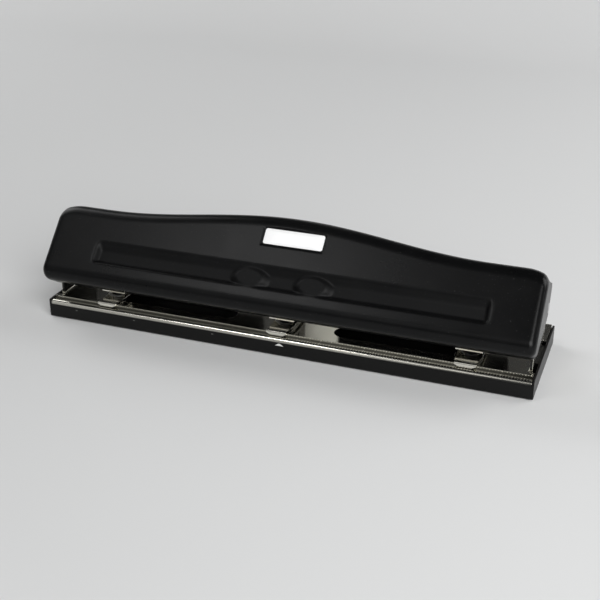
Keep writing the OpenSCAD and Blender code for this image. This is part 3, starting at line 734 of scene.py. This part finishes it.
for head, x in zip(HEADS, (-HOLE_PITCH, 0.0, HOLE_PITCH)):
    coil = surface(f"return_coil_{head}", [spring_patch(x)], HEAD_BODY[head],
                   drawn_wire, 60)
    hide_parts("return_spring_" + head)
    (HOLE_Y - Y_MID) * MM
    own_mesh(coil)

# %% [markdown]
# ## The bare label
# A small white film with rounded corners lies in the recess of the face, under the hump. A bevelled
# box would do for its edges, but not for its round corners. So its outline is a rounded rectangle,
# and rings from the edge to the middle make a thin plate with an eased rim.

# %% Label plate
CORNER_POINTS = 8
# Heights below the top of the film at which its rim starts to ease and eases on
RIM_EASE, RIM_STEP = 0.12, 0.04


def rounded_outline(width, height, radius):
    """Closed outline of a rectangle with round corners, anticlockwise from the right."""
    turn = np.linspace(0, 90, CORNER_POINTS)
    corner = [width / 2 - radius, height / 2 - radius]
    centres = np.array([[1, 1], [-1, 1], [-1, -1], [1, -1]]) * corner
    loop = np.concatenate([c + radius * unit(turn + 90 * k) for k, c in enumerate(centres)])
    return np.concatenate([loop, loop[:1]])


def label_patch():
    """Rings of the outline: down the side, over the rim and in to the middle of each face."""
    loop = rounded_outline(LABEL_W, LABEL_H, LABEL_R)
    insets = [(0.0, 0.0), (1.0, 0.0), (1.0, LABEL_T - RIM_EASE), (0.996, LABEL_T - RIM_STEP),
              (0.985, LABEL_T), (0.5, LABEL_T), (0.0, LABEL_T)]
    rings = [np.concatenate([loop * share, np.full((len(loop), 1), up)], 1) for share, up in insets]
    return np.stack(rings)


flat_label = label_patch()
label_up, label_out = flat_label[..., 1:2], flat_label[..., 2:3]
on_face = FACE_P + (LABEL_S + label_up) * FACE_U + (RECESS_Q - label_out) * FACE_IN
label_grid = np.concatenate([HANDLE_OFF + LABEL_X + flat_label[..., :1], on_face - [Y_MID, 0]], -1)
label = surface("label_film", [label_grid], "handle", label_film, 40)
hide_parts("label_plate")

# %% [markdown]
# ## Guide marks on the front
# The black front carries a small white triangle near the middle and three faint dots to its left,
# as guides for the sheet. They are printed. A mask in the plastic's material could draw them, but a
# flat piece a few hundredths of a millimetre proud keeps its edges crisp and is easy to move.

# %% Guide marks
# The triangle's middle, half widths at foot and tip, and heights of foot and tip
MARK_X, MARK_FOOT, MARK_TIP, MARK_LOW, MARK_HIGH = 3.1, 2.5, 0.4, 6.9, 8.3
DOT_PLACES, DOT_Z, DOT_HALF_W, DOT_HALF_H = (-38.1, -88.5, -127.0), 7.1, 0.6, 0.3
PRINT_SUNK, PRINT_PROUD = 0.02, 0.04


def mark_patch(x, low, high, foot, tip):
    """A thin plate on the front wall, in X and Z; foot and tip are half widths below and above."""
    corners = np.array([(x - foot, low), (x + foot, low), (x + tip, high), (x - tip, high)])
    middle = corners.mean(0)
    rings = []
    for share, proud in ((0.0, -PRINT_SUNK), (1.0, -PRINT_SUNK), (1.0, PRINT_PROUD),
                         (0.0, PRINT_PROUD)):
        ring = middle + (corners - middle) * share
        ring = np.concatenate([ring, ring[:1]])
        rings.append(np.stack([ring[:, 0], np.full(len(ring), -proud - Y_MID), ring[:, 1]], -1))
    return np.stack(rings)


triangle = mark_patch(MARK_X, MARK_LOW, MARK_HIGH, MARK_FOOT, MARK_TIP)
dots = [mark_patch(x, DOT_Z - DOT_HALF_H, DOT_Z + DOT_HALF_H, DOT_HALF_W, DOT_HALF_W)
        for x in DOT_PLACES]
surface("centre_mark", [triangle], "tray", scale_print, 20)
surface("guide_marks", dots, "tray", worn_print, 20)

# %% [markdown]
# ## Stage and light
# The photograph shows a pale grey sweep in soft light. A broad key lamp at the front right and a lamp
# at each side light the scene. Black enamel shows only what it reflects, so four weak lamps in
# front on the left are there for their reflections: the sloped face mirrors the front lamp and the
# small spot lamp, and forms that tip further forwards mirror the low lamp and the fill lamp. The
# rolled top mirrors the upper part of the backdrop, which is painted dark as painted shade. One pale
# patch of painted light on it shows in the deck, through the gap between the halves of the skirt.
# The floor is painted paler towards the back right as painted light.

# %% Floor and backdrop
# All in metres: where the floor's painted light grows paler, where the painted shade of the wall and
# its top starts, and the patch of painted light
FLOOR_FADE, WALL_FADE, TOP_FADE = (-0.15, 0.45), (0.22, 0.42), (0.85, 1.10)
PATCH_LEFT, PATCH_RIGHT = (-0.43, -0.41), (-0.33, -0.25)
FLOOR_NEAR, FLOOR_FAR = (0.66, 0.665, 0.665), (0.86, 0.865, 0.865)
WALL_SHADE, PATCH_LIGHT, TOP_SHADE = (0.035, 0.035, 0.035), (0.55, 0.55, 0.52), (0.03, 0.03, 0.03)


def sweep_patch():
    """A floor that curls up behind the punch: straight, quarter circle, straight."""
    bend_r, back, front, high, half = 500.0, 700.0, -2200.0, 2200.0, 3000.0
    arc = unit(np.linspace(-90, 0, 24)) * bend_r + [back, bend_r]
    line = np.concatenate([[[front, 0.0]], arc, [[back + bend_r, high]]])
    across = np.linspace(-half, half, 5)
    grid = np.zeros((len(across), len(line), 3))
    grid[..., 0] = across[:, None]
    grid[..., 1:] = line
    return grid


def grey_paper(place):
    """Painted light and shade: a floor paler towards the back right, a dark wall with one pale patch.
    """
    mottle = place.noise(2.0, 2.0)
    x, y, z = place.axes()
    # The floor's paler back right is painted light
    far = (0.5 * x + 0.6 * y).between(*FLOOR_FADE)
    floor = (0.1 * mottle + 0.9 * far).mixed(FLOOR_NEAR, FLOOR_FAR)
    # The pale patch is painted light, and the dark wall and its top are painted shade
    patch = x.between(*PATCH_LEFT) * (1 - x.between(*PATCH_RIGHT))
    wall = patch.mixed(WALL_SHADE, PATCH_LIGHT)
    wall = z.between(*TOP_FADE).mixed(wall, TOP_SHADE)
    return {"Base Color": z.between(*WALL_FADE).mixed(floor, wall)}


paper = finish_of("backdrop_paper", grey_paper, Roughness=0.9)
sweep_mesh = bpy.data.meshes.new("backdrop")
sweep_grid = sweep_patch()
sweep_mesh.from_pydata((sweep_grid.reshape(-1, 3) * MM).tolist(), [],
                       patch_faces(*sweep_grid.shape[:2], 0)[:, ::-1].tolist())
sweep_mesh.shade_smooth()
sweep_mesh.materials.append(paper)
sweep = bpy.data.objects.new("backdrop", sweep_mesh)
bpy.context.scene.collection.objects.link(sweep)
print("backdrop:", len(sweep_mesh.polygons), "faces")

# %% Lamps and world
LAMP_AIM = Vector((0, 0, 0.04))


def lamp(name, place, wide, tall, watts):
    """A rectangular area lamp at place, turned towards the punch, all in metres."""
    data = bpy.data.lights.new(name, "AREA")
    data.shape, data.size, data.size_y, data.energy = "RECTANGLE", wide, tall, watts
    light = bpy.data.objects.new(name, data)
    light.location = place
    light.rotation_mode = "QUATERNION"
    light.rotation_quaternion = (LAMP_AIM - Vector(place)).to_track_quat("-Z", "Y")
    bpy.context.scene.collection.objects.link(light)
    print(f"{name}: {wide} by {tall} m, {watts} W")


lamp("front_lamp", (-0.66, -0.70, 1.22), 0.85, 1.1, 1.3)
lamp("spot_lamp", (-0.50, -0.66, 1.22), 0.3, 0.3, 1.6)
lamp("low_lamp", (-0.83, -1.27, 0.50), 0.7, 0.6, 0.5)
lamp("fill_lamp", (-0.26, -1.23, 0.84), 0.45, 0.7, 0.75)
lamp("key_lamp", (0.85, -1.00, 0.85), 1.0, 1.0, 22.0)
lamp("left_lamp", (-1.10, 0.50, 0.75), 0.9, 0.9, 6.0)
lamp("right_lamp", (1.10, 0.60, 0.75), 0.9, 0.9, 7.5)
world = bpy.data.worlds.new("room")
world.use_nodes = True
sky = world.node_tree.nodes["Background"]
sky.inputs["Color"].default_value = (0.82, 0.84, 0.86, 1)
sky.inputs["Strength"].default_value = 0.02
bpy.context.scene.world = world
bpy.context.scene.view_settings.view_transform = "Standard"
